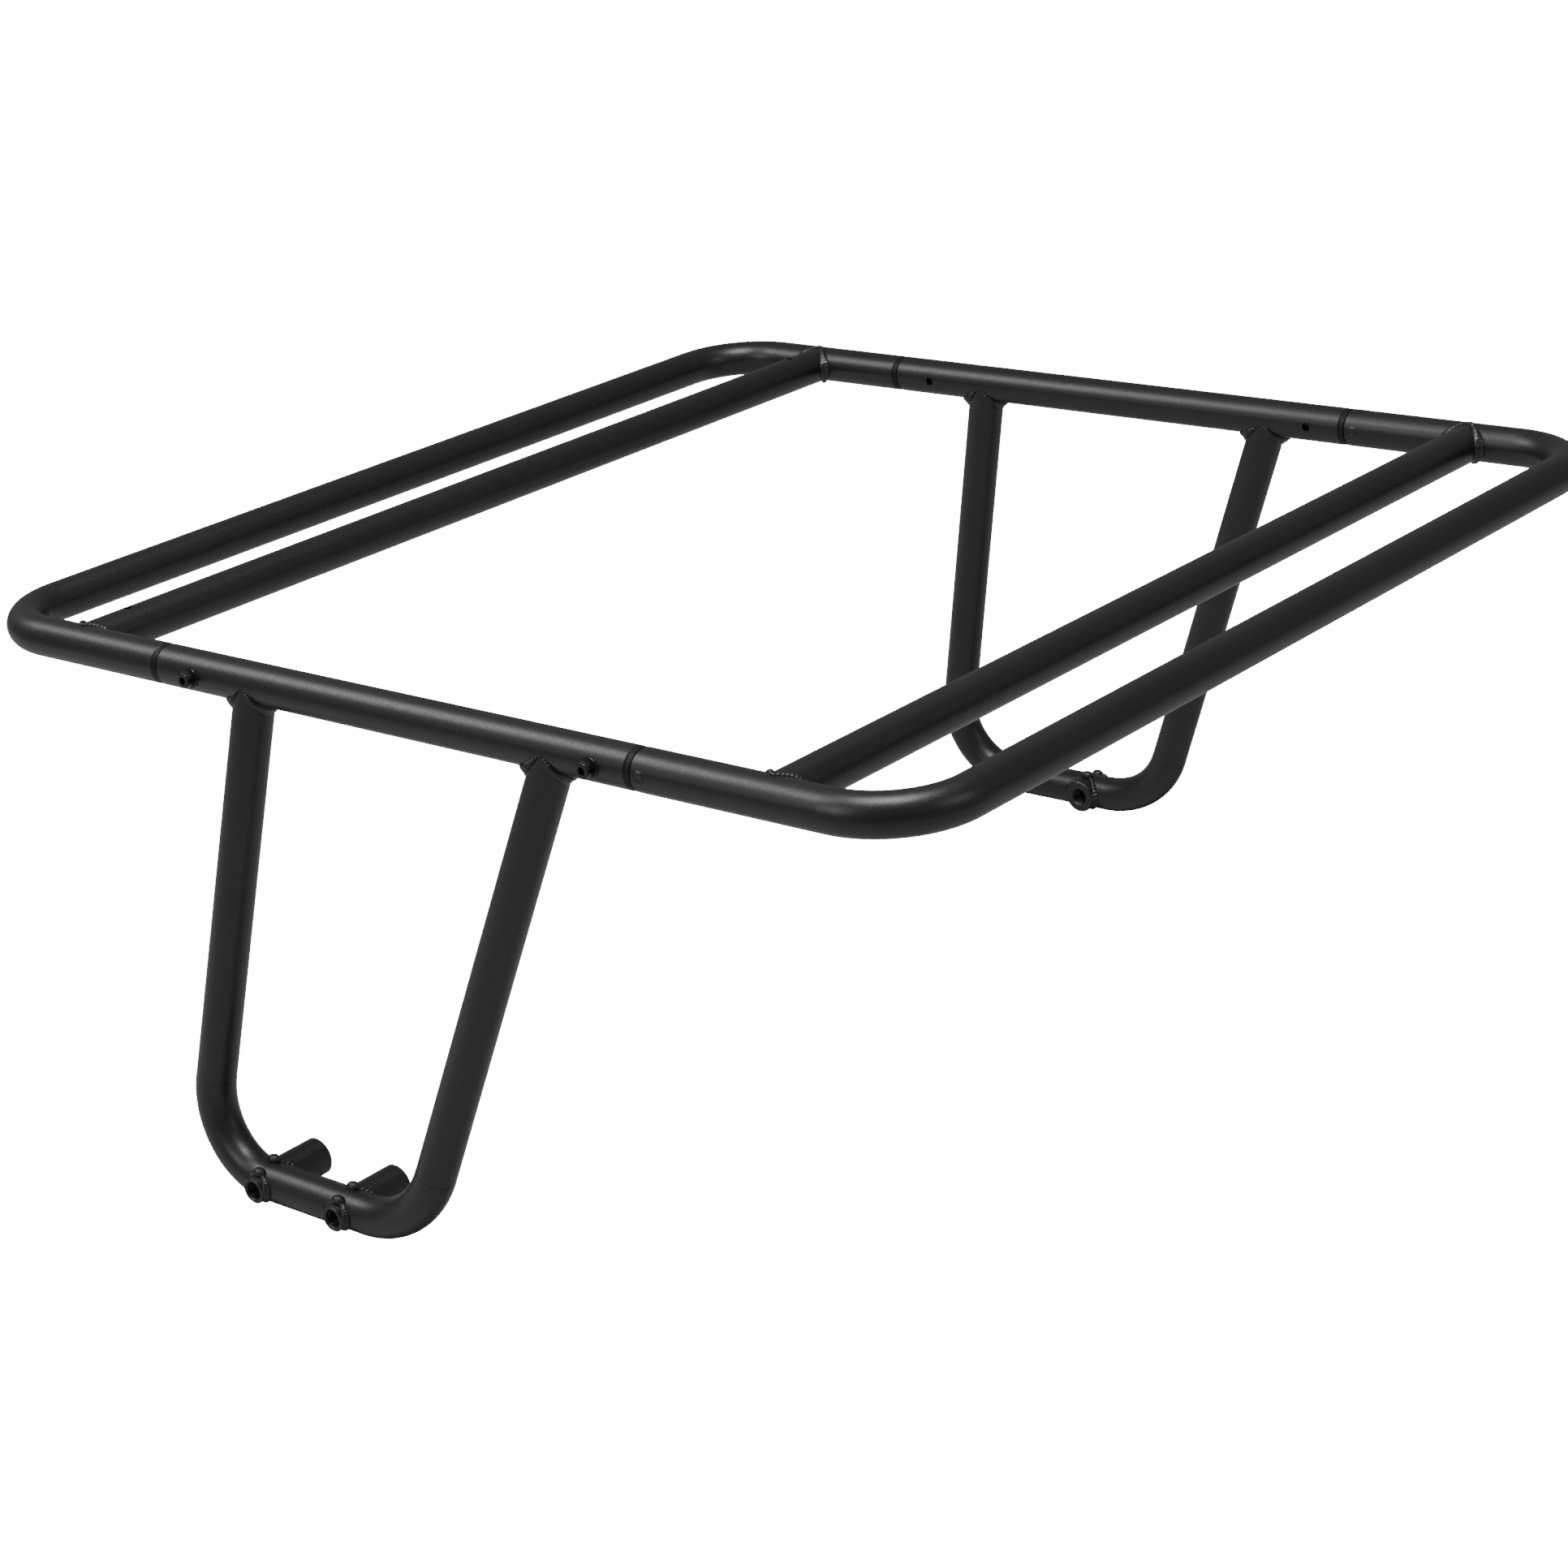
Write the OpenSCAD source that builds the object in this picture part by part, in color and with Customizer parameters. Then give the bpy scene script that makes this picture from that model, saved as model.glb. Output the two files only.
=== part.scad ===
// Bolt-together tubular cargo rack. Two bent end hoops, each with a crossbar, slide on
// spigots in two side rails and are held by cap screws. A bent leg loop is welded under
// each rail, and two threaded bosses pass through the bottom of each loop.
// +X runs across the rack, +Y along the side rails towards the rear, +Z up.
// The origin is the outer end of the thread in the left rear boss.

/* [Tube] */
// Outside diameter of every tube
tube_od = 22.2; // [20:0.1:27]
// Wall of every tube
tube_wall = 2; // [1.6:0.1:2.4]
// Gap that a coped tube end leaves for its weld
cope_gap = 0.1; // [0.05:0.05:0.3]

/* [Top frame] */
// Width between the centrelines of the side rails
frame_width = 638; // [420:1:800]
// Length between the centrelines of the end bars
frame_length = 644; // [530:1:800]
// Bend radius of the hoops at the tube centreline
hoop_bend = 45; // [38:1:60]
// Distance from each end bar to the crossbar beside it
crossbar_inset = 78; // [74:1:94]
// Distance from the front end bar to the joint with the side rails
front_stub = 159; // [140:1:175]
// Distance from the rear end bar to the joint with the side rails
rear_stub = 148; // [140:1:175]
// Diameter of the two vent holes in the rear crossbar
vent_d = 4; // [2:0.5:6]
// Distance of each vent hole from the side-rail centreline
vent_inset = 33; // [28:1:60]

/* [Spigots] */
// Radial clearance between a spigot and the tubes it joins
spigot_fit = 0.08; // [0.05:0.01:0.15]
// Wall of a spigot
spigot_wall = 3; // [2.5:0.1:4]
// Width of the collar that shows in the joint
collar_width = 3; // [1.5:0.1:4]
// Gap left on each side of the collar
collar_gap = 0.4; // [0.2:0.1:1]
// How far the collar lies below the outside of the tubes
collar_recess = 0.2; // [0.1:0.05:0.8]
// Length of a spigot inside its hoop
spigot_in_hoop = 30; // [20:1:40]
// Length of a spigot inside its side rail
spigot_in_rail = 42; // [38:1:60]
// Chamfer on the tube ends at the joints
end_chamfer = 0.5; // [0.2:0.1:0.8]

/* [Screws] */
// Distance of the front screws from the front joint
front_screw_inset = 24; // [16:1:30]
// Distance of the rear screws from the rear joint
rear_screw_inset = 29; // [16:1:30]
// Thread diameter of the cap screws
screw_d = 5; // [4:0.5:6]
// Diameter of the screw heads
screw_head_d = 8.5; // [7:0.1:10.2]
// Height of the screw heads
screw_head_h = 5; // [3.5:0.1:6]
// Length of the screws under the head
screw_len = 20; // [16:0.5:22]
// Radial clearance of a screw in its holes
screw_fit = 0.06; // [0.03:0.01:0.1]
// Depth of the flat that seats each washer
seat_depth = 0.8; // [0.4:0.05:1]
// Radial gap round each washer in its seat
seat_gap = 0.4; // [0.3:0.05:0.8]
// Width across the flats of the hexagon in each head
hex_af = 4; // [3:0.5:5]
// Depth of the hexagon in each head
hex_depth = 2.8; // [2:0.1:3]
// Diameter of the washers under the heads
washer_d = 11.4; // [10.2:0.1:14]
// Thickness of the washers
washer_t = 1; // [0.6:0.1:1.6]

/* [Leg loops] */
// Height from the boss axes to the side-rail centreline
leg_drop = 282; // [230:1:340]
// Outward lean of each leg loop
leg_splay = 5; // [0:0.5:8]
// Distance from the rear joint of the side rail to the top of the rear leg
rear_leg_inset = 68.5; // [45:0.5:90]
// Distance from the front joint of the side rail to the top of the front leg
front_leg_inset = 55; // [45:0.5:85]
// Bend radius at the foot of the rear leg, at the tube centreline
rear_leg_bend = 42; // [36:1:50]
// Bend radius at the foot of the front leg, at the tube centreline
front_leg_bend = 58; // [40:1:70]
// Straight length of the bottom tube between its two bends
foot_straight = 74; // [66:1:140]
// Distance from the rear joint of the side rail to the rear end of that straight length
foot_inset = 53.5; // [25:0.5:80]

/* [Bosses] */
// Distance between the two bosses of a leg loop
boss_spacing = 62; // [45:1:70]
// Distance of the rear boss behind the straight length of the bottom tube
boss_shift = 1; // [1:0.5:6]
// Diameter of the barrel that passes through the tube
barrel_d = 15; // [13:0.1:16]
// Diameter of the spacer on the inner side of the tube
spacer_d = 21.2; // [18:0.1:21.6]
// Bore of each boss, the minor diameter of its thread
boss_bore = 8.5; // [7:0.1:9]
// Diameter of the countersink at both ends of the bore
boss_mouth = 10.2; // [9.6:0.1:11]
// Reach of every boss outside the tube centreline
boss_reach = 14.5; // [13.5:0.1:18]
// Reach of the left bosses inside the tube centreline
left_spacer = 35; // [15:0.5:40]
// Reach of the right bosses inside the tube centreline
right_spacer = 14.5; // [14:0.5:40]
// Chamfer on the outer rim of each boss
boss_chamfer = 0.8; // [0.3:0.1:1.2]

/* [Welds] */
// Thickness of the beads at the leg tops and the crossbar ends
joint_bead = 2.6; // [2:0.1:4]
// Thickness of the beads round the bosses
boss_bead = 2; // [1.2:0.1:2.2]
// Diameter of the plug welds that fix the spigots in the hoops
plug_d = 7; // [5:0.1:9]
// Distance of each plug weld from the end of its hoop
plug_inset = 5.4; // [5:0.1:12]
// Height of the plug welds above the tube
plug_proud = 0.8; // [0.3:0.1:1.5]

/* [Hidden] */
$fn = 96;
COATED = [0.12, 0.125, 0.125];
OILED = [0.03, 0.03, 0.035];
LEFT = -1;
RIGHT = 1;
FRONT = -1;
REAR = 1;
over = 1;
// A bent tube is a little thicker in its bends, and its straights start inside them
bend_swell = 0.1;
bend_lap = 1;

tube_r = tube_od / 2;
bore_r = tube_r - tube_wall;
half_width = frame_width / 2;
half_length = frame_length / 2;
crossbar_y = half_length - crossbar_inset;
hole_r = screw_d / 2 + screw_fit;
seat_x = tube_r - seat_depth;
head_x = seat_x + washer_t;
spigot_r = bore_r - spigot_fit;

// Joints along the side rails, measured from the middle of the frame
joint_half = collar_width / 2 + collar_gap;
front_joint_y = front_stub - half_length;
rear_joint_y = half_length - rear_stub;
front_screw_y = front_joint_y + front_screw_inset;
rear_screw_y = rear_joint_y - rear_screw_inset;

// Leg loops, drawn upright in their own plane and then leaned outwards
plane_drop = leg_drop / cos(leg_splay);
foot_end = rear_joint_y - foot_inset;
rear_leg_out = rear_joint_y - rear_leg_inset - foot_end;
front_leg_out = foot_end - foot_straight - front_joint_y - front_leg_inset;
rear_leg_lean = leg_lean(rear_leg_bend, rear_leg_out);
front_leg_lean = leg_lean(front_leg_bend, front_leg_out);
foot_x = half_width + leg_drop * tan(leg_splay);
rear_boss_y = foot_end + boss_shift;
front_boss_y = rear_boss_y - boss_spacing;
mouth_sink = (boss_mouth - boss_bore) / 2;
thread_end = boss_reach - mouth_sink;

// Moves a child from the middle of the top frame to the origin of the part
module in_frame()
    translate([foot_x + thread_end, -rear_boss_y, leg_drop])
    children();

module rod_x(r, from, to)
    translate([from, 0, 0])
    rotate([0, 90, 0])
    cylinder(r = r, h = to - from);

module rod_y(r, from, to)
    translate([0, from, 0])
    rotate([-90, 0, 0])
    cylinder(r = r, h = to - from);

// Cuts a chamfer on a tube that ends at y, where way is the direction out of its end
module end_break(y, way)
    translate([0, y, 0])
    rotate([-90 * way, 0, 0])
    translate([0, 0, -end_chamfer])
    difference() {
        cylinder(r = tube_r + over, h = end_chamfer + over);
        translate([0, 0, -over])
            cylinder(r1 = tube_r + over, r2 = tube_r - end_chamfer - over, h = end_chamfer + 2 * over);
    }

// One rod bent in a U. Its end bar lies on the -Y side, and its arms run on to y = arm_end
module hoop_rod(r, arm_end) {
    straight = half_width - hoop_bend;
    bend_y = hoop_bend - half_length;
    translate([0, -half_length, 0])
        rod_x(r, -straight, straight);
    for (side = [LEFT, RIGHT]) {
        translate([side * half_width, 0, 0])
            rod_y(r, bend_y, arm_end);
        translate([side * straight, bend_y, 0])
            rotate([0, 0, side == RIGHT ? -90 : 180])
            rotate_extrude(angle = 90)
            translate([hoop_bend, 0])
            circle(r = r);
    }
}

// A hoop with the holes for the plug welds, which face the side given by plug_side
module hoop(stub, plug_side) {
    arm_end = stub - half_length - joint_half;
    difference() {
        hoop_rod(tube_r, arm_end);
        hoop_rod(bore_r, arm_end + over);
        for (side = [LEFT, RIGHT])
            translate([side * half_width, 0, 0]) {
                end_break(arm_end, REAR);
                translate([0, arm_end - plug_inset, 0])
                    rotate([0, plug_side * 90, 0])
                    cylinder(d = plug_d, h = tube_r + over);
            }
    }
}

module front_hoop()
    color(COATED)
    in_frame()
    hoop(front_stub, LEFT);

module rear_hoop()
    color(COATED)
    in_frame()
    rotate([0, 0, 180])
    hoop(rear_stub, LEFT);

// A crossbar coped between the two arms of a hoop
module crossbar(way)
    translate([0, way * crossbar_y, 0])
    difference() {
        rod_x(tube_r, -half_width, half_width);
        rod_x(bore_r, -half_width - over, half_width + over);
        for (side = [LEFT, RIGHT])
            translate([side * half_width, 0, 0])
                rod_y(tube_r + cope_gap, -tube_od, tube_od);
    }

module front_crossbar()
    color(COATED)
    in_frame()
    crossbar(FRONT);

module rear_crossbar()
    color(COATED)
    in_frame()
    difference() {
        crossbar(REAR);
        for (side = [LEFT, RIGHT])
            translate([side * (half_width - vent_inset), crossbar_y, 0])
                cylinder(d = vent_d, h = tube_od);
    }

// A straight side rail with its screw holes and the flats that seat the washers
module side_rail(side) {
    from = front_joint_y + joint_half;
    to = rear_joint_y - joint_half;
    seat_r = washer_d / 2 + seat_gap;
    translate([side * half_width, 0, 0])
        difference() {
            rod_y(tube_r, from, to);
            rod_y(bore_r, from - over, to + over);
            end_break(from, FRONT);
            end_break(to, REAR);
            for (y = [front_screw_y, rear_screw_y])
                translate([0, y, 0])
                    rotate([0, 0, side == RIGHT ? 0 : 180]) {
                        rod_x(hole_r, -tube_od, tube_od);
                        rod_x(seat_r, seat_x, tube_od);
                    }
        }
}

module left_side_rail()
    color(COATED)
    in_frame()
    side_rail(LEFT);

module right_side_rail()
    color(COATED)
    in_frame()
    side_rail(RIGHT);

// A spigot with its collar; way points from its joint into the hoop
module spigot(side, joint_y, way, screw_y) {
    collar_y = joint_y - collar_width / 2;
    in_front = way == FRONT ? spigot_in_hoop : spigot_in_rail;
    behind = way == FRONT ? spigot_in_rail : spigot_in_hoop;
    color(COATED)
        in_frame()
        translate([side * half_width, 0, 0])
        difference() {
            union() {
                rod_y(spigot_r, joint_y - in_front, joint_y + behind);
                rod_y(tube_r - collar_recess, collar_y, collar_y + collar_width);
            }
            rod_y(spigot_r - spigot_wall, joint_y - in_front - over, joint_y + behind + over);
            translate([0, screw_y, 0])
                rod_x(hole_r, -tube_od, tube_od);
        }
}

module front_left_spigot() spigot(LEFT, front_joint_y, FRONT, front_screw_y);
module front_right_spigot() spigot(RIGHT, front_joint_y, FRONT, front_screw_y);
module rear_left_spigot() spigot(LEFT, rear_joint_y, REAR, rear_screw_y);
module rear_right_spigot() spigot(RIGHT, rear_joint_y, REAR, rear_screw_y);

// Moves a child from the origin to a screw hole, with +X out of the rail
module at_screw(side, y)
    translate([side * half_width, y, 0])
    rotate([0, 0, side == RIGHT ? 0 : 180])
    children();

// A socket-head screw that bears on its washer
module cap_screw(side, y)
    color(OILED)
    in_frame()
    at_screw(side, y)
    difference() {
        union() {
            rod_x(screw_d / 2, head_x - screw_len, head_x + over);
            rod_x(screw_head_d / 2, head_x, head_x + screw_head_h);
        }
        translate([head_x + screw_head_h - hex_depth, 0, 0])
            rotate([0, 90, 0])
            cylinder(d = hex_af / cos(30), h = hex_depth + over, $fn = 6);
    }

// A flat washer in its seat on the outer side of the rail
module washer(side, y)
    color(OILED)
    in_frame()
    at_screw(side, y)
    difference() {
        rod_x(washer_d / 2, seat_x, head_x);
        rod_x(hole_r, seat_x - over, head_x + over);
    }

module front_left_screw() cap_screw(LEFT, front_screw_y);
module front_right_screw() cap_screw(RIGHT, front_screw_y);
module rear_left_screw() cap_screw(LEFT, rear_screw_y);
module rear_right_screw() cap_screw(RIGHT, rear_screw_y);

module front_left_washer() washer(LEFT, front_screw_y);
module front_right_washer() washer(RIGHT, front_screw_y);
module rear_left_washer() washer(LEFT, rear_screw_y);
module rear_right_washer() washer(RIGHT, rear_screw_y);

// Leans a child outwards about the rail, so that a leg loop can be drawn upright
module lean_out(side)
    translate([side * half_width, 0, 0])
    rotate([0, -side * leg_splay, 0])
    children();

// Moves a child to the rear end of the bottom tube's straight length
module at_foot_end()
    translate([0, foot_end, -plane_drop])
    children();

// Height of the rail centreline above the end of a bend, measured along its leg
function leg_length(bend, lean) = (plane_drop - bend * (1 + sin(lean))) / cos(lean);

// Inward lean of a leg whose top lies a distance out beyond the end of the straight foot
function leg_lean(bend, out) =
    asin(bend / norm([out, plane_drop - bend])) - atan(out / (plane_drop - bend));

// Moves a child from the start of a bend to the end of it, with +Z up the leg
module past_bend(bend, lean)
    translate([0, 0, bend])
    rotate([90 + lean, 0, 0])
    translate([0, 0, -bend])
    rotate([-90, 0, 0])
    children();

// A bend from level towards +Y and up, and the straight leg above it, which starts inside it
module bent_leg(r, bend, lean) {
    translate([0, 0, bend])
        rotate([0, 90, 0])
        rotate_extrude(angle = 90 + lean)
        translate([bend, 0])
        circle(r = r + bend_swell);
    past_bend(bend, lean)
        translate([0, 0, -bend_lap])
        cylinder(r = r, h = leg_length(bend, lean) + bend_lap);
}

// The top end of a leg, thickened for its bead
module leg_top(r, reach, bend, lean)
    past_bend(bend, lean)
    translate([0, 0, leg_length(bend, lean) - reach])
    cylinder(r = r, h = reach - over);

// Moves a child from the rear end of the bottom tube to its front end, facing forwards
module at_front_end()
    translate([0, -foot_straight, 0])
    mirror([0, 1, 0])
    children();

// One rod bent in a U below the rail, in its own upright plane
module loop_rod(r)
    at_foot_end() {
        rod_y(r, -foot_straight - bend_lap, bend_lap);
        bent_leg(r, rear_leg_bend, rear_leg_lean);
        at_front_end()
            bent_leg(r, front_leg_bend, front_leg_lean);
    }

module rail_rod(side, r)
    translate([side * half_width, 0, 0])
    rod_y(r, -half_length, half_length);

// Moves a child to the place where a boss axis crosses the bottom tube, +X outwards
module at_boss(side, y)
    translate([side * foot_x, y, -leg_drop])
    rotate([0, 0, side == RIGHT ? 0 : 180])
    children();

module leg_loop(side)
    color(COATED)
    in_frame()
    difference() {
        lean_out(side)
            loop_rod(tube_r);
        lean_out(side)
            loop_rod(bore_r);
        rail_rod(side, tube_r + cope_gap);
        for (y = [front_boss_y, rear_boss_y])
            at_boss(side, y)
                rod_x(barrel_d / 2, -tube_od, tube_od);
    }

module left_leg_loop() leg_loop(LEFT);
module right_leg_loop() leg_loop(RIGHT);

// A threaded boss: a barrel through the tube and a wider spacer coped to its inner side
module boss(side, y, spacer_reach)
    color(COATED)
    in_frame()
    difference() {
        union() {
            at_boss(side, y) {
                rod_x(barrel_d / 2, -spacer_reach, boss_reach - boss_chamfer);
                translate([boss_reach - boss_chamfer, 0, 0])
                    rotate([0, 90, 0])
                    cylinder(d1 = barrel_d, d2 = barrel_d - 2 * boss_chamfer, h = boss_chamfer);
            }
            difference() {
                at_boss(side, y)
                    rod_x(spacer_d / 2, -spacer_reach, 0);
                lean_out(side)
                    loop_rod(tube_r);
            }
        }
        at_boss(side, y) {
            rod_x(boss_bore / 2, -spacer_reach - over, boss_reach + over);
            for (end = [[boss_reach, 90], [-spacer_reach, -90]])
                translate([end[0], 0, 0])
                    rotate([0, end[1], 0])
                    translate([0, 0, -mouth_sink])
                    cylinder(d1 = boss_bore, d2 = boss_mouth + 2 * mouth_sink, h = 2 * mouth_sink);
        }
    }

module left_front_boss() boss(LEFT, front_boss_y, left_spacer);
module left_rear_boss() boss(LEFT, rear_boss_y, left_spacer);
module right_front_boss() boss(RIGHT, front_boss_y, right_spacer);
module right_rear_boss() boss(RIGHT, rear_boss_y, right_spacer);

module leg_tops(r, reach)
    at_foot_end() {
        leg_top(r, reach, rear_leg_bend, rear_leg_lean);
        at_front_end()
            leg_top(r, reach, front_leg_bend, front_leg_lean);
    }

// Beads in the corners between the leg tops and the rail
module leg_welds(side)
    color(COATED)
    in_frame()
    difference() {
        intersection() {
            lean_out(side)
                leg_tops(tube_r + joint_bead, 2 * tube_od);
            rail_rod(side, tube_r + joint_bead);
        }
        rail_rod(side, tube_r);
        lean_out(side)
            leg_tops(tube_r, 3 * tube_od);
    }

module left_leg_welds() leg_welds(LEFT);
module right_leg_welds() leg_welds(RIGHT);

// Beads in the corners between a crossbar and the arms of its hoop
module crossbar_welds(way)
    color(COATED)
    in_frame()
    translate([0, way * crossbar_y, 0])
    for (side = [LEFT, RIGHT])
        translate([side * half_width, 0, 0])
            rotate([0, 0, side == LEFT ? 0 : 180])
            difference() {
                intersection() {
                    rod_x(tube_r + joint_bead, over, tube_od);
                    rod_y(tube_r + joint_bead, -tube_od, tube_od);
                }
                rod_y(tube_r, -2 * tube_od, 2 * tube_od);
                rod_x(tube_r, 0, 2 * tube_od);
            }

module front_crossbar_welds() crossbar_welds(FRONT);
module rear_crossbar_welds() crossbar_welds(REAR);

// Ring beads round the bosses: narrow on each barrel outside, wide on each spacer inside
module boss_welds(side)
    color(COATED)
    in_frame()
    difference() {
        for (y = [front_boss_y, rear_boss_y])
            at_boss(side, y)
                difference() {
                    intersection() {
                        union() {
                            rod_x(barrel_d / 2 + boss_bead, 0, tube_od);
                            rod_x(spacer_d / 2 + boss_bead, -tube_od, -over);
                        }
                        rod_y(tube_r + boss_bead, -tube_od, tube_od);
                    }
                    rod_x(spacer_d / 2, -2 * tube_od, 0);
                    rod_x(barrel_d / 2, -tube_od, 2 * tube_od);
                }
        lean_out(side)
            loop_rod(tube_r);
    }

module left_boss_welds() boss_welds(LEFT);
module right_boss_welds() boss_welds(RIGHT);

// Plug welds that fill the holes in a hoop and hold its spigots
module plug_welds(stub) {
    arm_end = stub - half_length - joint_half;
    for (side = [LEFT, RIGHT])
        translate([side * half_width, arm_end - plug_inset, 0])
            difference() {
                rod_x(plug_d / 2, -tube_r - plug_proud, -bore_r / 2);
                rod_y(spigot_r, -plug_d, plug_d);
            }
}

module front_plug_welds()
    color(COATED)
    in_frame()
    plug_welds(front_stub);

module rear_plug_welds()
    color(COATED)
    in_frame()
    rotate([0, 0, 180])
    plug_welds(rear_stub);

front_hoop();
rear_hoop();
front_crossbar();
rear_crossbar();
left_side_rail();
right_side_rail();
left_leg_loop();
right_leg_loop();
front_left_spigot();
front_right_spigot();
rear_left_spigot();
rear_right_spigot();
front_left_screw();
front_right_screw();
rear_left_screw();
rear_right_screw();
front_left_washer();
front_right_washer();
rear_left_washer();
rear_right_washer();
left_front_boss();
left_rear_boss();
right_front_boss();
right_rear_boss();
left_leg_welds();
right_leg_welds();
front_crossbar_welds();
rear_crossbar_welds();
left_boss_welds();
right_boss_welds();
front_plug_welds();
rear_plug_welds();
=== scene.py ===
import math
import random

import bpy
from mathutils import Matrix, Vector


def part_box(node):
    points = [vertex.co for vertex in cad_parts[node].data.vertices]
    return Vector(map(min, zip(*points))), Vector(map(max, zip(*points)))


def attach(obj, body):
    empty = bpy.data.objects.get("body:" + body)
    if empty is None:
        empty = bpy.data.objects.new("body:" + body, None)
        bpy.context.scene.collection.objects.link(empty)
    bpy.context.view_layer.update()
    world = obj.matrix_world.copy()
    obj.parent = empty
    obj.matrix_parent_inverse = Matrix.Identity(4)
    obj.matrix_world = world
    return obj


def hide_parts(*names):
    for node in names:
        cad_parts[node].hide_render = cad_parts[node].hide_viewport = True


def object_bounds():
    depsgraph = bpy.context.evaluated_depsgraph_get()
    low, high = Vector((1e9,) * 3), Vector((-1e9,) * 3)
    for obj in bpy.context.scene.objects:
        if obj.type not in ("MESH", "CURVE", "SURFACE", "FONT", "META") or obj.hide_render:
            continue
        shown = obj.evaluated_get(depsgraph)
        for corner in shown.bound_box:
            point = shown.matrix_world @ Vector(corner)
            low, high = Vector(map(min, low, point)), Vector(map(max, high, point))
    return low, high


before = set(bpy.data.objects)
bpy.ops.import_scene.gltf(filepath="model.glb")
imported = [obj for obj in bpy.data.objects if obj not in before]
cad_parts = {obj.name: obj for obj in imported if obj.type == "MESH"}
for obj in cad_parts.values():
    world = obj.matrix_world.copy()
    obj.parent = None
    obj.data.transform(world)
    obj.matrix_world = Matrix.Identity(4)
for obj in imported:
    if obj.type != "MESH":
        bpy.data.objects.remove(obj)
cad_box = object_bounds()


# ---- The studio ----
# A white sweep with large soft lights round it, and the camera low at the left front corner.
# The rack's own middle, at the height of its tube centrelines, is the place all is set from.

bpy.ops.object.select_all(action="DESELECT")
front_low, front_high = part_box("front_hoop")
rear_low, rear_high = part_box("rear_hoop")
middle = Vector((
    (front_low[0] + front_high[0]) / 2,
    (front_low[1] + rear_high[1]) / 2,
    (front_low[2] + front_high[2]) / 2,
))
floor_z = cad_box[0][2]
FLOOR_SIDE = 60
PAPER_GLOW = 14.0

bpy.ops.mesh.primitive_plane_add(size=FLOOR_SIDE, location=(middle.x, middle.y, floor_z))
floor = bpy.context.object
floor.name = "studio_floor"
paper = bpy.data.materials.new("studio_paper")
paper.use_nodes = True
paper_shader = paper.node_tree.nodes["Principled BSDF"]
paper_shader.inputs["Base Color"].default_value = (0.45, 0.447, 0.44, 1)
paper_shader.inputs["Roughness"].default_value = 0.9
paper_shader.inputs["Specular IOR Level"].default_value = 0.1
# The sweep also glows from behind, which only the camera sees.
paper_rays = paper.node_tree.nodes.new("ShaderNodeLightPath")
paper_glow = paper.node_tree.nodes.new("ShaderNodeMath")
paper_glow.operation = "MULTIPLY"
paper_glow.inputs[1].default_value = PAPER_GLOW
paper.node_tree.links.new(paper_rays.outputs["Is Camera Ray"], paper_glow.inputs[0])
paper.node_tree.links.new(paper_glow.outputs["Value"], paper_shader.inputs["Emission Strength"])
paper_shader.inputs["Emission Color"].default_value = (1.0, 0.997, 0.985, 1)
floor.data.materials.append(paper)

world = bpy.data.worlds.new("studio_air")
world.use_nodes = True
world.node_tree.nodes["Background"].inputs["Color"].default_value = (1.0, 0.997, 0.99, 1)
world.node_tree.nodes["Background"].inputs["Strength"].default_value = 0.24
bpy.context.scene.world = world

# Each softbox has a name, a place from the middle of the rack, a side length and a power.
softboxes = (
    ("top_softbox", (-0.3, -0.2, 1.9), 0.9, 44),
    ("front_softbox", (0.4, -2.6, 1.3), 1.2, 9),
    ("side_softbox", (-2.4, 0.6, 1.2), 1.0, 14),
    ("back_softbox", (-0.9, 1.6, 1.8), 1.1, 30),
)
for name, offset, side, power in softboxes:
    at = middle + Vector(offset)
    bpy.ops.object.light_add(type="AREA", location=at)
    lamp = bpy.context.object
    lamp.name = name
    lamp.data.shape = "SQUARE"
    lamp.data.size = side
    lamp.data.energy = power
    lamp.rotation_euler = (at - middle).to_track_quat("Z", "Y").to_euler()

CAMERA_AZIMUTH = math.radians(-48.37)
CAMERA_ELEVATION = math.radians(20.56)
CAMERA_ROLL = math.radians(-5.11)
camera_place = middle + Vector((-1.4382, -1.2355, 0.5744))
back = Vector((
    math.sin(CAMERA_AZIMUTH) * math.cos(CAMERA_ELEVATION),
    -math.cos(CAMERA_AZIMUTH) * math.cos(CAMERA_ELEVATION),
    math.sin(CAMERA_ELEVATION),
))
level_right = (-back).cross(Vector((0, 0, 1))).normalized()
level_up = level_right.cross(-back)
right = math.cos(CAMERA_ROLL) * level_right + math.sin(CAMERA_ROLL) * level_up
up = -math.sin(CAMERA_ROLL) * level_right + math.cos(CAMERA_ROLL) * level_up
camera_data = bpy.data.cameras.new("camera")
camera_data.sensor_width = 36
camera_data.lens = 80.66
camera_data.shift_x = 0.0114
camera_data.shift_y = -0.0083
camera_data.clip_end = 50
camera = bpy.data.objects.new("camera", camera_data)
bpy.context.scene.collection.objects.link(camera)
camera.matrix_world = Matrix.Translation(camera_place) @ Matrix((right, up, back)).transposed().to_4x4()
bpy.context.scene.camera = camera


# ---- The tubes ----
# Steel tubes of one diameter: two bent end hoops, two crossbars, two side rails and two bent
# leg loops, welded and then powder coated in satin black. Their CAD shapes stay as they are,
# and so do those of the spigots, given a rougher, weaker reflection as painted shade, so that the joint
# gaps look dark as shadow.

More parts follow.
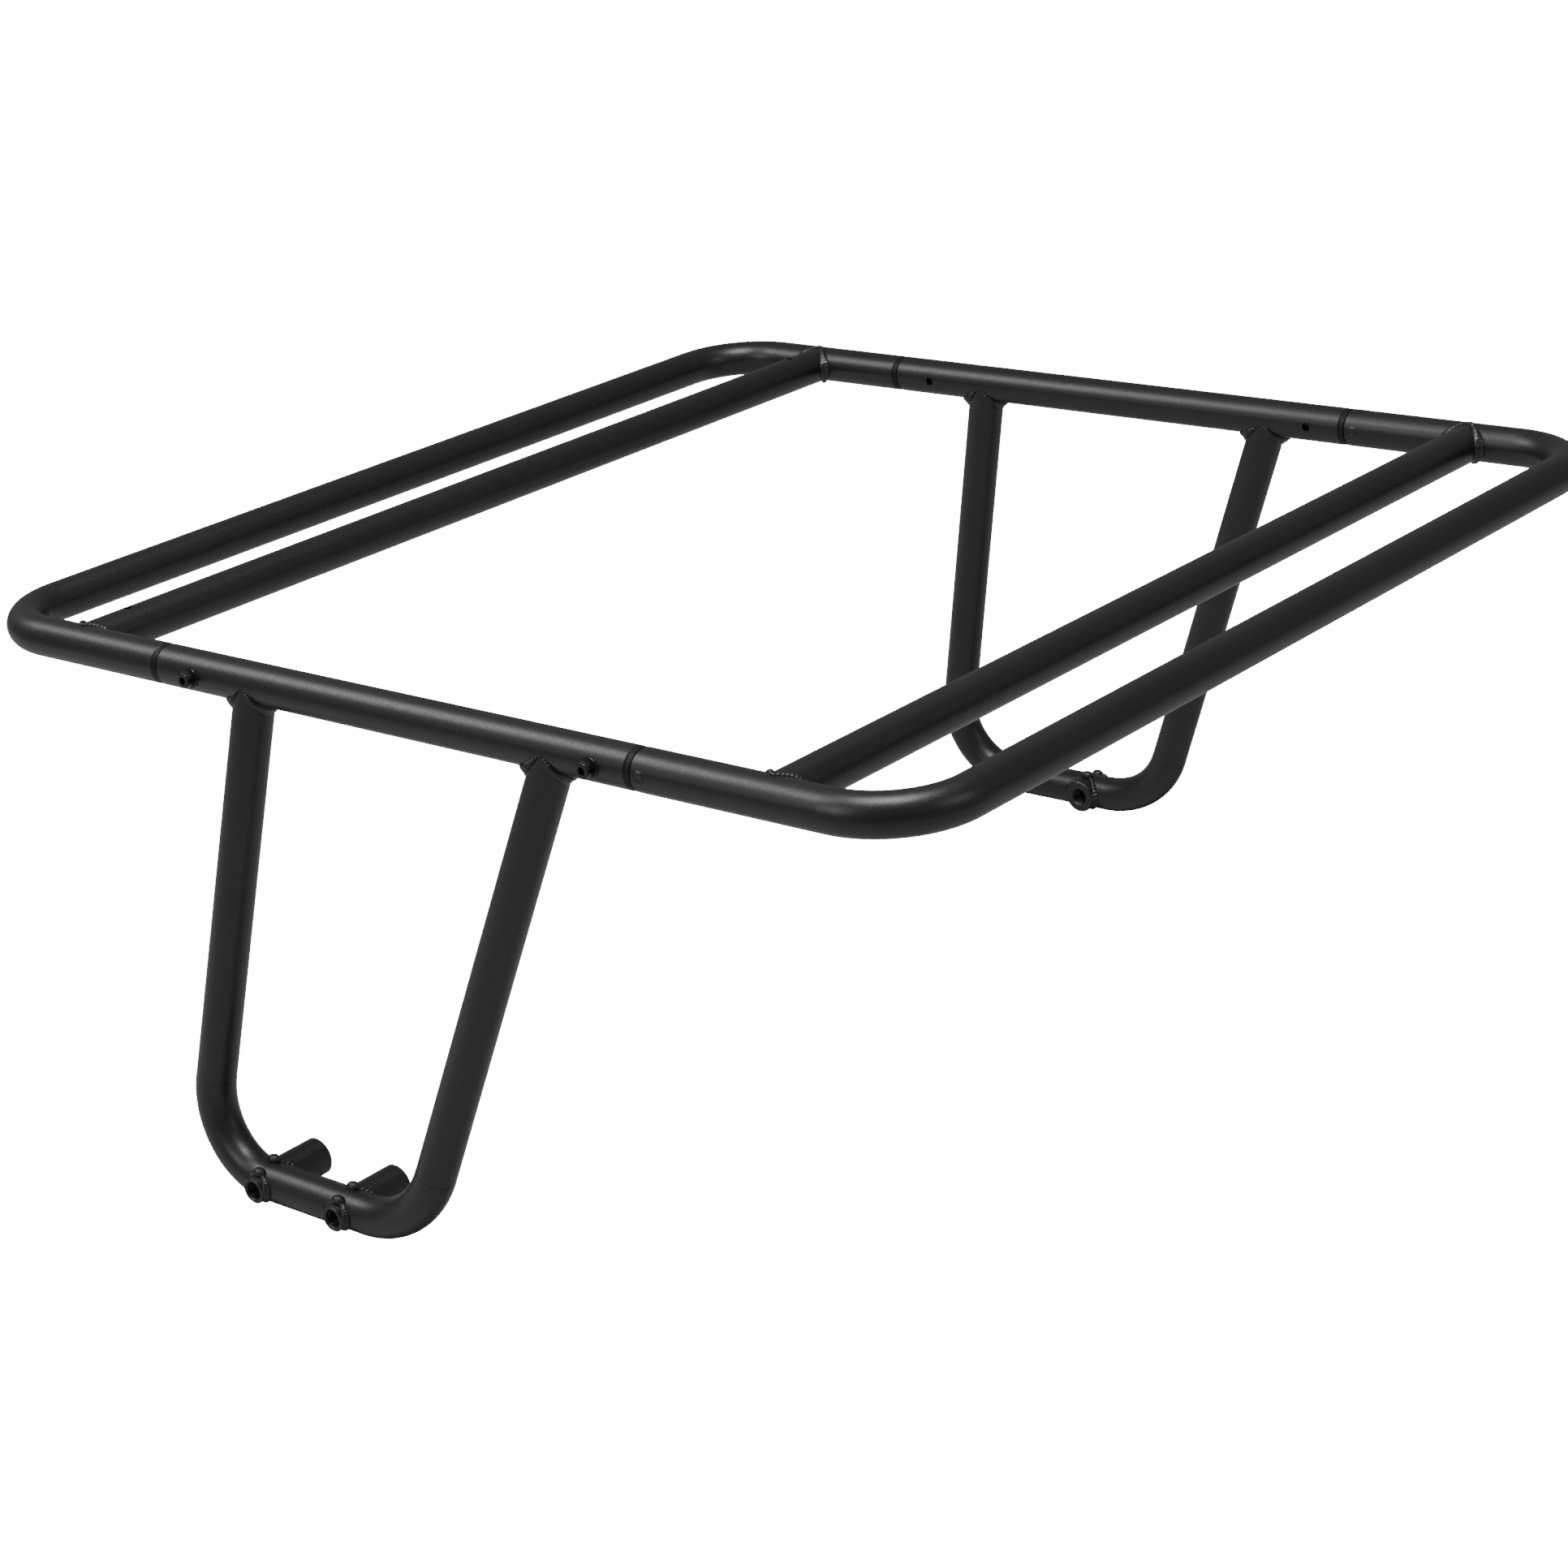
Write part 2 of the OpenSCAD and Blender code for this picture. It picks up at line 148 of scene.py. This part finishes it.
def powder_coat(name, gloss, peel):
    coat = bpy.data.materials.new(name)
    coat.use_nodes = True
    tree = coat.node_tree
    shader = tree.nodes["Principled BSDF"]
    place = tree.nodes.new("ShaderNodeTexCoord")

    tint = tree.nodes.new("ShaderNodeTexNoise")
    tint.inputs["Scale"].default_value = 16
    tint.inputs["Detail"].default_value = 5
    tree.links.new(place.outputs["Object"], tint.inputs["Vector"])
    tint_ramp = tree.nodes.new("ShaderNodeValToRGB")
    tint_ramp.color_ramp.elements[0].position = 0.3
    tint_ramp.color_ramp.elements[0].color = (0.0030, 0.0032, 0.0032, 1)
    tint_ramp.color_ramp.elements[1].position = 0.75
    tint_ramp.color_ramp.elements[1].color = (0.0055, 0.0057, 0.0057, 1)
    tree.links.new(tint.outputs["Fac"], tint_ramp.inputs["Fac"])
    tree.links.new(tint_ramp.outputs["Color"], shader.inputs["Base Color"])

    grain = tree.nodes.new("ShaderNodeTexNoise")
    grain.inputs["Scale"].default_value = 900
    grain.inputs["Detail"].default_value = 3
    tree.links.new(place.outputs["Object"], grain.inputs["Vector"])
    sheen = tree.nodes.new("ShaderNodeMapRange")
    sheen.inputs["From Min"].default_value = 0.3
    sheen.inputs["From Max"].default_value = 0.7
    sheen.inputs["To Min"].default_value = gloss - 0.05
    sheen.inputs["To Max"].default_value = gloss + 0.07
    tree.links.new(grain.outputs["Fac"], sheen.inputs["Value"])
    tree.links.new(sheen.outputs["Result"], shader.inputs["Roughness"])

    orange_peel = tree.nodes.new("ShaderNodeTexNoise")
    orange_peel.inputs["Scale"].default_value = 420
    orange_peel.inputs["Detail"].default_value = 2
    tree.links.new(place.outputs["Object"], orange_peel.inputs["Vector"])
    relief = tree.nodes.new("ShaderNodeBump")
    relief.inputs["Strength"].default_value = peel
    relief.inputs["Distance"].default_value = 0.00012
    tree.links.new(orange_peel.outputs["Fac"], relief.inputs["Height"])
    fine = tree.nodes.new("ShaderNodeBump")
    fine.inputs["Strength"].default_value = peel * 0.6
    fine.inputs["Distance"].default_value = 0.00004
    tree.links.new(grain.outputs["Fac"], fine.inputs["Height"])
    tree.links.new(relief.outputs["Normal"], fine.inputs["Normal"])
    tree.links.new(fine.outputs["Normal"], shader.inputs["Normal"])
    shader.inputs["Specular IOR Level"].default_value = 0.5
    return coat


satin_black = powder_coat("satin_black_coat", gloss=0.38, peel=0.35)
tube_nodes = (
    "front_hoop", "rear_hoop", "front_crossbar", "rear_crossbar",
    "left_side_rail", "right_side_rail", "left_leg_loop", "right_leg_loop",
)
spigot_nodes = ("front_left_spigot", "front_right_spigot", "rear_left_spigot", "rear_right_spigot")
# Painted shade: the spigots reflect less than the tubes, so the gaps at the joints look shadowed.
spigot_painted_shade = powder_coat("spigot_painted_shade_coat", gloss=0.5, peel=0.2)
spigot_painted_shade.node_tree.nodes["Principled BSDF"].inputs["Specular IOR Level"].default_value = 0.2

for node in tube_nodes + spigot_nodes:
    finish = spigot_painted_shade if node in spigot_nodes else satin_black
    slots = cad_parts[node].data.materials
    if len(slots):
        slots[0] = finish
    else:
        slots.append(finish)

spans = {node: (Vector(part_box(node)[0]), Vector(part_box(node)[1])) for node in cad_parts}
tube_r = (spans["front_crossbar"][1].z - spans["front_crossbar"][0].z) / 2
rail_z = (spans["left_side_rail"][0].z + spans["left_side_rail"][1].z) / 2
rail_x = {side: (spans[side + "_side_rail"][0].x + spans[side + "_side_rail"][1].x) / 2
          for side in ("left", "right")}
crossbar_y = {end: (spans[end + "_crossbar"][0].y + spans[end + "_crossbar"][1].y) / 2
              for end in ("front", "rear")}


# ---- Weld beads ----
# Steel run into the corners where tubes meet, laid as overlapping puddles by hand and coated
# over with the tubes. Each bead is puddles melted together round the seam of the two tubes.

weld_black = powder_coat("weld_black_coat", gloss=0.38, peel=0.5)
MELT_VOXEL = 0.00042


def add_puddle(place, along, size, stretch):
    bpy.ops.mesh.primitive_ico_sphere_add(subdivisions=2, radius=size, location=place)
    puddle = bpy.context.object
    puddle.scale = (1, 1, stretch)
    puddle.rotation_euler = along.to_track_quat("Z", "Y").to_euler()
    return puddle


def melt(puddles, name, voxel=MELT_VOXEL):
    bpy.ops.object.select_all(action="DESELECT")
    for puddle in puddles:
        puddle.select_set(True)
    bead = puddles[0]
    bpy.context.view_layer.objects.active = bead
    bpy.ops.object.join()
    bpy.ops.object.transform_apply(location=True, rotation=True, scale=True)
    bead.name = name
    bead.data.name = name
    remesh = bead.modifiers.new("melt", "REMESH")
    remesh.mode = "VOXEL"
    remesh.voxel_size = voxel
    bpy.ops.object.modifier_apply(modifier=remesh.name)
    smooth = bead.modifiers.new("flow", "SMOOTH")
    smooth.factor = 0.5
    smooth.iterations = 3
    bpy.ops.object.modifier_apply(modifier=smooth.name)
    bpy.ops.object.shade_smooth()
    return bead


def seam_ring(centre, run, branch, puddle_r, corner_r, count, seed, from_run, branch_r):
    """Puddles round a branch tube that meets a run tube; both are given by unit directions."""
    chance = random.Random(seed)
    across = run.cross(branch).normalized()
    side_way = branch.cross(across).normalized()
    points = []
    for step in range(count):
        turn = 2 * math.pi * step / count
        around = math.cos(turn) * side_way + math.sin(turn) * across
        rim = branch_r * around
        # the distance up the branch at which this line of its surface leaves the run tube
        flat_rim = rim - rim.dot(run) * run
        flat_branch = branch - branch.dot(run) * run
        a = flat_branch.length_squared
        b = flat_rim.dot(flat_branch)
        c = flat_rim.length_squared - from_run ** 2
        rise = (-b + math.sqrt(max(b * b - a * c, 0))) / a
        corner = abs(math.cos(turn)) ** 1.5
        seam = centre + rim + rise * branch
        off_run = ((seam - centre) - (seam - centre).dot(run) * run).normalized()
        outward = (around + off_run).normalized()
        along_run = around - around.dot(off_run) * off_run
        points.append((seam, outward, corner, along_run))
    puddles = []
    for step, (seam, outward, corner, along_run) in enumerate(points):
        line = points[(step + 1) % count][0] - points[step - 1][0]
        size = (puddle_r + (corner_r - puddle_r) * corner) * chance.uniform(0.94, 1.06)
        puddles.append(add_puddle(seam + outward * size * 0.05, line, size, chance.uniform(0.62, 0.74)))
        # in the corners the bead spreads out over both tubes
        if corner > 0.25:
            for spread in (along_run, branch):
                place = seam + spread * size * 0.8 * corner
                puddles.append(add_puddle(place, line, size * 0.58, 0.9))
    return puddles


def finish_welds(bead, node):
    bead.data.materials.clear()
    bead.data.materials.append(weld_black)
    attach(bead, "rack")
    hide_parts(node)


# The leg tops: the thickest beads, with long corners in the crotch between leg and rail.
LEG_PUDDLE = 0.0007
LEG_CORNER = 0.0040
BEAD_PUDDLES = 46
run_y = Vector((0, 1, 0))
leg_lean = {"rear": math.radians(13.81), "front": math.radians(22.21)}
leg_splay = math.radians(5)
# the places of the leg tops along the rail, from the middle of the rack
leg_tops = (("rear", 0.1055), ("front", -0.108))
for side, outward_x in (("left", -1), ("right", 1)):
    puddles = []
    for end, top_y in leg_tops:
        lean = leg_lean[end]
        down = Vector((
            outward_x * math.sin(leg_splay) * math.cos(lean),
            math.sin(lean),
            -math.cos(leg_splay) * math.cos(lean),
        ))
        top = Vector((rail_x[side], middle.y + top_y, rail_z))
        puddles += seam_ring(top, run_y, down, LEG_PUDDLE, LEG_CORNER, BEAD_PUDDLES,
                             11 + outward_x + len(end), tube_r, tube_r)
    finish_welds(melt(puddles, side + "_leg_weld_beads"), side + "_leg_welds")

# The crossbar ends: even beads, run into the arms of each hoop.
CROSSBAR_PUDDLE = 0.0014
CROSSBAR_CORNER = 0.0032
for end in ("front", "rear"):
    puddles = []
    for side, inward in (("left", 1), ("right", -1)):
        place = Vector((rail_x[side], crossbar_y[end], rail_z))
        puddles += seam_ring(place, run_y, Vector((inward, 0, 0)), CROSSBAR_PUDDLE, CROSSBAR_CORNER,
                             BEAD_PUDDLES, 31 + inward + len(end), tube_r, tube_r)
    finish_welds(melt(puddles, end + "_crossbar_weld_beads"), end + "_crossbar_welds")

# The bosses: small lumpy rings, with one round lump on top where the bead was closed.
BARREL_R = 0.0075
BOSS_PUDDLE = 0.0017
BOSS_CORNER = 0.0021
BOSS_LUMP = 0.0036
for side, outward_x in (("left", -1), ("right", 1)):
    puddles = []
    loop_low, loop_high = spans[side + "_leg_loop"]
    foot_x = loop_high.x - tube_r if side == "right" else loop_low.x + tube_r
    for end in ("front", "rear"):
        boss_low, boss_high = spans[f"{side}_{end}_boss"]
        axis_place = Vector((foot_x, (boss_low.y + boss_high.y) / 2, (boss_low.z + boss_high.z) / 2))
        spacer_r = (boss_high.y - boss_low.y) / 2
        for way, ring_r in ((outward_x, BARREL_R), (-outward_x, spacer_r)):
            puddles += seam_ring(axis_place, run_y, Vector((way, 0, 0)), BOSS_PUDDLE, BOSS_CORNER, 34,
                                 51 + way + len(end), tube_r, ring_r)
            surface_x = way * math.sqrt(max(tube_r ** 2 - ring_r ** 2, 0))
            lump = axis_place + Vector((surface_x, 0, ring_r + 0.0006))
            puddles.append(add_puddle(lump, run_y, BOSS_LUMP, 1.2))
    finish_welds(melt(puddles, side + "_boss_weld_beads"), side + "_boss_welds")

# The plug welds: low buttons, each filling a hole near the end of a hoop.
PLUG_PUDDLES = 9
for end in ("front", "rear"):
    low, high = spans[end + "_plug_welds"]
    button_r = (high.y - low.y) / 2
    inner = 1 if end == "rear" else -1
    puddles = []
    for side in ("left", "right"):
        face_x = rail_x[side] + inner * tube_r
        for step in range(PLUG_PUDDLES):
            turn = 2 * math.pi * step / PLUG_PUDDLES
            place = Vector((
                face_x - inner * 0.0016,
                (low.y + high.y) / 2 + 0.62 * button_r * math.cos(turn),
                (low.z + high.z) / 2 + 0.62 * button_r * math.sin(turn),
            ))
            puddles.append(add_puddle(place, Vector((0, 1, 0)), 0.0021, 1))
        puddles.append(add_puddle(Vector((face_x - inner * 0.0024, (low.y + high.y) / 2,
                                          (low.z + high.z) / 2)), Vector((0, 1, 0)), 0.0026, 1))
    finish_welds(melt(puddles, end + "_plug_weld_buttons", 0.0003), end + "_plug_welds")


# ---- Threaded bosses ----
# Turned steel: a slim barrel through the tube, a wide spacer inside it, a countersunk M10
# thread right through. Welded in and coated, with a thin dark film left in the thread.

boss_black = powder_coat("boss_black_coat", gloss=0.36, peel=0.25)
THREAD_PITCH = 0.0015
THREAD_MINOR = 0.00425
THREAD_MAJOR = 0.0050

bare_steel = bpy.data.materials.new("worn_thread_steel")
bare_steel.use_nodes = True
steel_tree = bare_steel.node_tree
steel_shader = steel_tree.nodes["Principled BSDF"]
steel_shader.inputs["Metallic"].default_value = 1
steel_place = steel_tree.nodes.new("ShaderNodeTexCoord")
steel_wear = steel_tree.nodes.new("ShaderNodeTexNoise")
steel_wear.inputs["Scale"].default_value = 700
steel_tree.links.new(steel_place.outputs["Object"], steel_wear.inputs["Vector"])
steel_ramp = steel_tree.nodes.new("ShaderNodeValToRGB")
steel_ramp.color_ramp.elements[0].position = 0.35
steel_ramp.color_ramp.elements[0].color = (0.004, 0.004, 0.004, 1)
steel_ramp.color_ramp.elements[1].position = 0.6
steel_ramp.color_ramp.elements[1].color = (0.03, 0.03, 0.028, 1)
steel_tree.links.new(steel_wear.outputs["Fac"], steel_ramp.inputs["Fac"])
steel_tree.links.new(steel_ramp.outputs["Color"], steel_shader.inputs["Base Color"])
steel_shader.inputs["Roughness"].default_value = 0.35


def turned(name, profile, sides=96):
    """A closed ring turned round +X: each profile point is (place along X, radius)."""
    bpy.ops.object.select_all(action="DESELECT")
    first_x, first_r = profile[0]
    bpy.ops.mesh.primitive_circle_add(vertices=sides, radius=first_r, fill_type="NOTHING",
                                      rotation=(0, math.pi / 2, 0), location=(first_x, 0, 0))
    piece = bpy.context.object
    piece.name = name
    piece.data.name = name
    bpy.ops.object.transform_apply(location=True, rotation=True, scale=True)
    bpy.ops.object.mode_set(mode="EDIT")
    bpy.ops.mesh.select_all(action="SELECT")
    before_x, before_r = first_x, first_r
    for x, r in profile[1:] + [profile[0]]:
        bpy.ops.mesh.extrude_region_move(TRANSFORM_OT_translate={"value": (x - before_x, 0, 0)})
        bpy.ops.transform.resize(value=(1, r / before_r, r / before_r), center_override=(x, 0, 0))
        before_x, before_r = x, r
    bpy.ops.mesh.select_all(action="SELECT")
    bpy.ops.mesh.remove_doubles(threshold=0.000002)
    bpy.ops.mesh.normals_make_consistent(inside=False)
    bpy.ops.object.mode_set(mode="OBJECT")
    bpy.ops.object.shade_smooth_by_angle(angle=math.radians(28))
    return piece


def helix(name, low_x, high_x, root_r, crest_r, pitch, steps=32):
    """A thread's surface round +X, from low_x to high_x, with its crests at crest_r."""
    bpy.ops.object.select_all(action="DESELECT")
    bpy.ops.mesh.primitive_circle_add(vertices=5, radius=0.001, fill_type="NOTHING")
    piece = bpy.context.object
    piece.name = name
    piece.data.name = name
    outline = ((0, root_r), (0.38, crest_r), (0.5, crest_r), (0.88, root_r), (1, root_r))
    for vertex, (share, radius) in zip(piece.data.vertices, outline):
        vertex.co = (low_x + share * pitch, radius, 0)
    bpy.ops.object.mode_set(mode="EDIT")
    bpy.ops.mesh.select_mode(type="EDGE")
    bpy.ops.mesh.select_all(action="DESELECT")
    bpy.ops.object.mode_set(mode="OBJECT")
    for edge in piece.data.edges:
        edge.select = set(edge.vertices) == {0, 4}
    bpy.ops.object.mode_set(mode="EDIT")
    bpy.ops.mesh.delete(type="EDGE")
    bpy.ops.object.mode_set(mode="OBJECT")
    wind = piece.modifiers.new("wind", "SCREW")
    wind.axis = "X"
    wind.screw_offset = pitch
    wind.iterations = int((high_x - low_x) / pitch) - 1
    wind.steps = steps
    wind.render_steps = steps
    wind.use_merge_vertices = True
    wind.merge_threshold = 0.000002
    bpy.ops.object.modifier_apply(modifier=wind.name)
    bpy.ops.object.shade_smooth_by_angle(angle=math.radians(25))
    return piece


def join_pieces(pieces, name):
    bpy.ops.object.select_all(action="DESELECT")
    for piece in pieces:
        piece.select_set(True)
    bpy.context.view_layer.objects.active = pieces[0]
    bpy.ops.object.join()
    whole = bpy.context.object
    whole.name = name
    whole.data.name = name
    return whole


def put(piece, place, turn):
    piece.rotation_euler = turn
    piece.location = place
    bpy.ops.object.select_all(action="DESELECT")
    piece.select_set(True)
    bpy.context.view_layer.objects.active = piece
    bpy.ops.object.transform_apply(location=True, rotation=True, scale=True)


for side in ("left", "right"):
    loop_low, loop_high = spans[side + "_leg_loop"]
    foot_x = loop_high.x - tube_r if side == "right" else loop_low.x + tube_r
    for end in ("front", "rear"):
        node = f"{side}_{end}_boss"
        low, high = spans[node]
        outer = high.x - foot_x if side == "right" else foot_x - low.x
        inner = foot_x - low.x if side == "right" else high.x - foot_x
        spacer_r = (high.y - low.y) / 2
        body = turned(node + "_turning", [
            (-inner + 0.00095, THREAD_MAJOR - 0.0001),
            (-inner, 0.0058),
            (-inner, spacer_r - 0.0007),
            (-inner + 0.0007, spacer_r),
            (-0.0020, spacer_r),
            (-0.0020, BARREL_R),
            (outer - 0.0024, BARREL_R),
            (outer - 0.0021, 0.0072),
            (outer - 0.0019, 0.0072),
            (outer - 0.0016, BARREL_R),
            (outer - 0.0007, BARREL_R),
            (outer, 0.0068),
            (outer, 0.0058),
            (outer - 0.00095, THREAD_MAJOR - 0.0001),
        ])
        body.data.materials.append(boss_black)
        thread = helix(node + "_thread", -inner + 0.0006, outer - 0.0002, THREAD_MAJOR,
                       THREAD_MINOR, THREAD_PITCH)
        thread.data.materials.append(bare_steel)
        boss = join_pieces([body, thread], node + "_turned")
        turn = (0, 0, 0) if side == "right" else (0, 0, math.pi)
        put(boss, Vector((foot_x, (low.y + high.y) / 2, (low.z + high.z) / 2)), turn)
        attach(boss, "rack")
        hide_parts(node)


# ---- Cap screws ----
# Alloy-steel socket-head screws in oiled black oxide: a knurled head with a hexagon socket,
# and a threaded shank that passes through the rail and its spigot.

oxide = bpy.data.materials.new("oiled_black_oxide")
oxide.use_nodes = True
oxide_tree = oxide.node_tree
oxide_shader = oxide_tree.nodes["Principled BSDF"]
oxide_shader.inputs["Metallic"].default_value = 0.55
oxide_shader.inputs["Specular IOR Level"].default_value = 0.7
oxide_place = oxide_tree.nodes.new("ShaderNodeTexCoord")
oxide_stain = oxide_tree.nodes.new("ShaderNodeTexNoise")
oxide_stain.inputs["Scale"].default_value = 260
oxide_stain.inputs["Detail"].default_value = 4
oxide_tree.links.new(oxide_place.outputs["Object"], oxide_stain.inputs["Vector"])
oxide_ramp = oxide_tree.nodes.new("ShaderNodeValToRGB")
oxide_ramp.color_ramp.elements[0].color = (0.008, 0.008, 0.009, 1)
oxide_ramp.color_ramp.elements[1].color = (0.022, 0.022, 0.025, 1)
oxide_tree.links.new(oxide_stain.outputs["Fac"], oxide_ramp.inputs["Fac"])
oxide_tree.links.new(oxide_ramp.outputs["Color"], oxide_shader.inputs["Base Color"])
oxide_gloss = oxide_tree.nodes.new("ShaderNodeMapRange")
oxide_gloss.inputs["To Min"].default_value = 0.2
oxide_gloss.inputs["To Max"].default_value = 0.34
oxide_tree.links.new(oxide_stain.outputs["Fac"], oxide_gloss.inputs["Value"])
oxide_tree.links.new(oxide_gloss.outputs["Result"], oxide_shader.inputs["Roughness"])

SHANK_LENGTH = 0.020
SHANK_R = 0.0025
SOCKET_R = 0.00231
SOCKET_DEPTH = 0.0028
WASHER_BORE_R = 0.0026
HEAD_FLUTES = 36


def cap_screw(name, head_r, head_h, shank_r):
    """One screw along -X from the underside of its head, which lies at the origin."""
    bpy.ops.object.select_all(action="DESELECT")
    bpy.ops.mesh.primitive_cylinder_add(vertices=HEAD_FLUTES * 4, radius=head_r, depth=head_h,
                                        rotation=(0, math.pi / 2, 0), location=(head_h / 2, 0, 0))
    head = bpy.context.object
    bpy.ops.object.transform_apply(location=True, rotation=True, scale=True)
    bpy.ops.object.mode_set(mode="EDIT")
    bpy.ops.mesh.select_mode(type="FACE")
    bpy.ops.mesh.select_all(action="DESELECT")
    bpy.ops.object.mode_set(mode="OBJECT")
    for face in head.data.polygons:
        face.select = face.normal.x > 0.9
    bpy.ops.object.mode_set(mode="EDIT")
    # the knurl stops short of the smooth, rounded rim
    bpy.ops.mesh.bevel(offset=0.0005, segments=3, affect="EDGES")
    bpy.ops.object.mode_set(mode="OBJECT")
    for vertex in head.data.vertices:
        if vertex.co.x < head_h - 0.0006:
            turn = math.atan2(vertex.co.z, vertex.co.y)
            shrink = 1 - 0.028 * (0.5 - 0.5 * math.cos(HEAD_FLUTES * turn))
            vertex.co.y *= shrink
            vertex.co.z *= shrink
    bpy.ops.mesh.primitive_cylinder_add(vertices=6, radius=SOCKET_R, depth=2 * SOCKET_DEPTH,
                                        rotation=(0, math.pi / 2, 0), location=(head_h, 0, 0))
    key = bpy.context.object
    bpy.ops.object.transform_apply(location=True, rotation=True, scale=True)
    bpy.context.view_layer.objects.active = head
    socket = head.modifiers.new("socket", "BOOLEAN")
    socket.operation = "DIFFERENCE"
    socket.object = key
    socket.solver = "EXACT"
    bpy.ops.object.modifier_apply(modifier=socket.name)
    bpy.data.objects.remove(key)
    edge = head.modifiers.new("edge", "BEVEL")
    edge.width = 0.00018
    edge.segments = 2
    edge.limit_method = "ANGLE"
    edge.angle_limit = math.radians(50)
    bpy.ops.object.modifier_apply(modifier=edge.name)
    bpy.ops.object.select_all(action="DESELECT")
    head.select_set(True)
    bpy.ops.object.shade_smooth_by_angle(angle=math.radians(32))
    core = turned(name + "_core", [
        (0.0, shank_r * 0.5), (0.0, shank_r * 0.83), (-SHANK_LENGTH + 0.0004, shank_r * 0.83),
        (-SHANK_LENGTH, shank_r * 0.66), (-SHANK_LENGTH, 0.0001), (-SHANK_LENGTH + 0.0005, 0.0001),
    ], 48)
    thread = helix(name + "_thread", -SHANK_LENGTH + 0.0003, -0.0002, shank_r * 0.83, shank_r,
                   0.0008, 28)
    screw = join_pieces([head, core, thread], name)
    screw.data.materials.clear()
    screw.data.materials.append(oxide)
    return screw


for side in ("left", "right"):
    for end in ("front", "rear"):
        node = f"{end}_{side}_screw"
        low, high = spans[node]
        head_r = (high.z - low.z) / 2
        head_h = high.x - low.x - SHANK_LENGTH
        under_head = high.x - head_h if side == "right" else low.x + head_h
        screw = cap_screw(node + "_turned", head_r, head_h, SHANK_R)
        turn = (0, 0, 0) if side == "right" else (0, 0, math.pi)
        put(screw, Vector((under_head, (low.y + high.y) / 2, (low.z + high.z) / 2)), turn)
        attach(screw, node)
        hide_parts(node)

# The washers: thick rings with rounded rims, one under each head.
for side in ("left", "right"):
    for end in ("front", "rear"):
        node = f"{end}_{side}_washer"
        low, high = spans[node]
        thick = high.x - low.x
        rim_r = (high.z - low.z) / 2
        ring = turned(node + "_turned", [
            (0.0, WASHER_BORE_R), (0.0, rim_r - 0.0002), (0.0002, rim_r), (thick - 0.0003, rim_r),
            (thick - 0.0001, rim_r - 0.0001), (thick, rim_r - 0.0003), (thick, WASHER_BORE_R),
        ])
        ring.data.materials.append(oxide)
        at_seat = low.x if side == "right" else high.x
        turn = (0, 0, 0) if side == "right" else (0, 0, math.pi)
        put(ring, Vector((at_seat, (low.y + high.y) / 2, (low.z + high.z) / 2)), turn)
        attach(ring, f"{end}_{side}_screw")
        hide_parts(node)


bpy.context.view_layer.update()
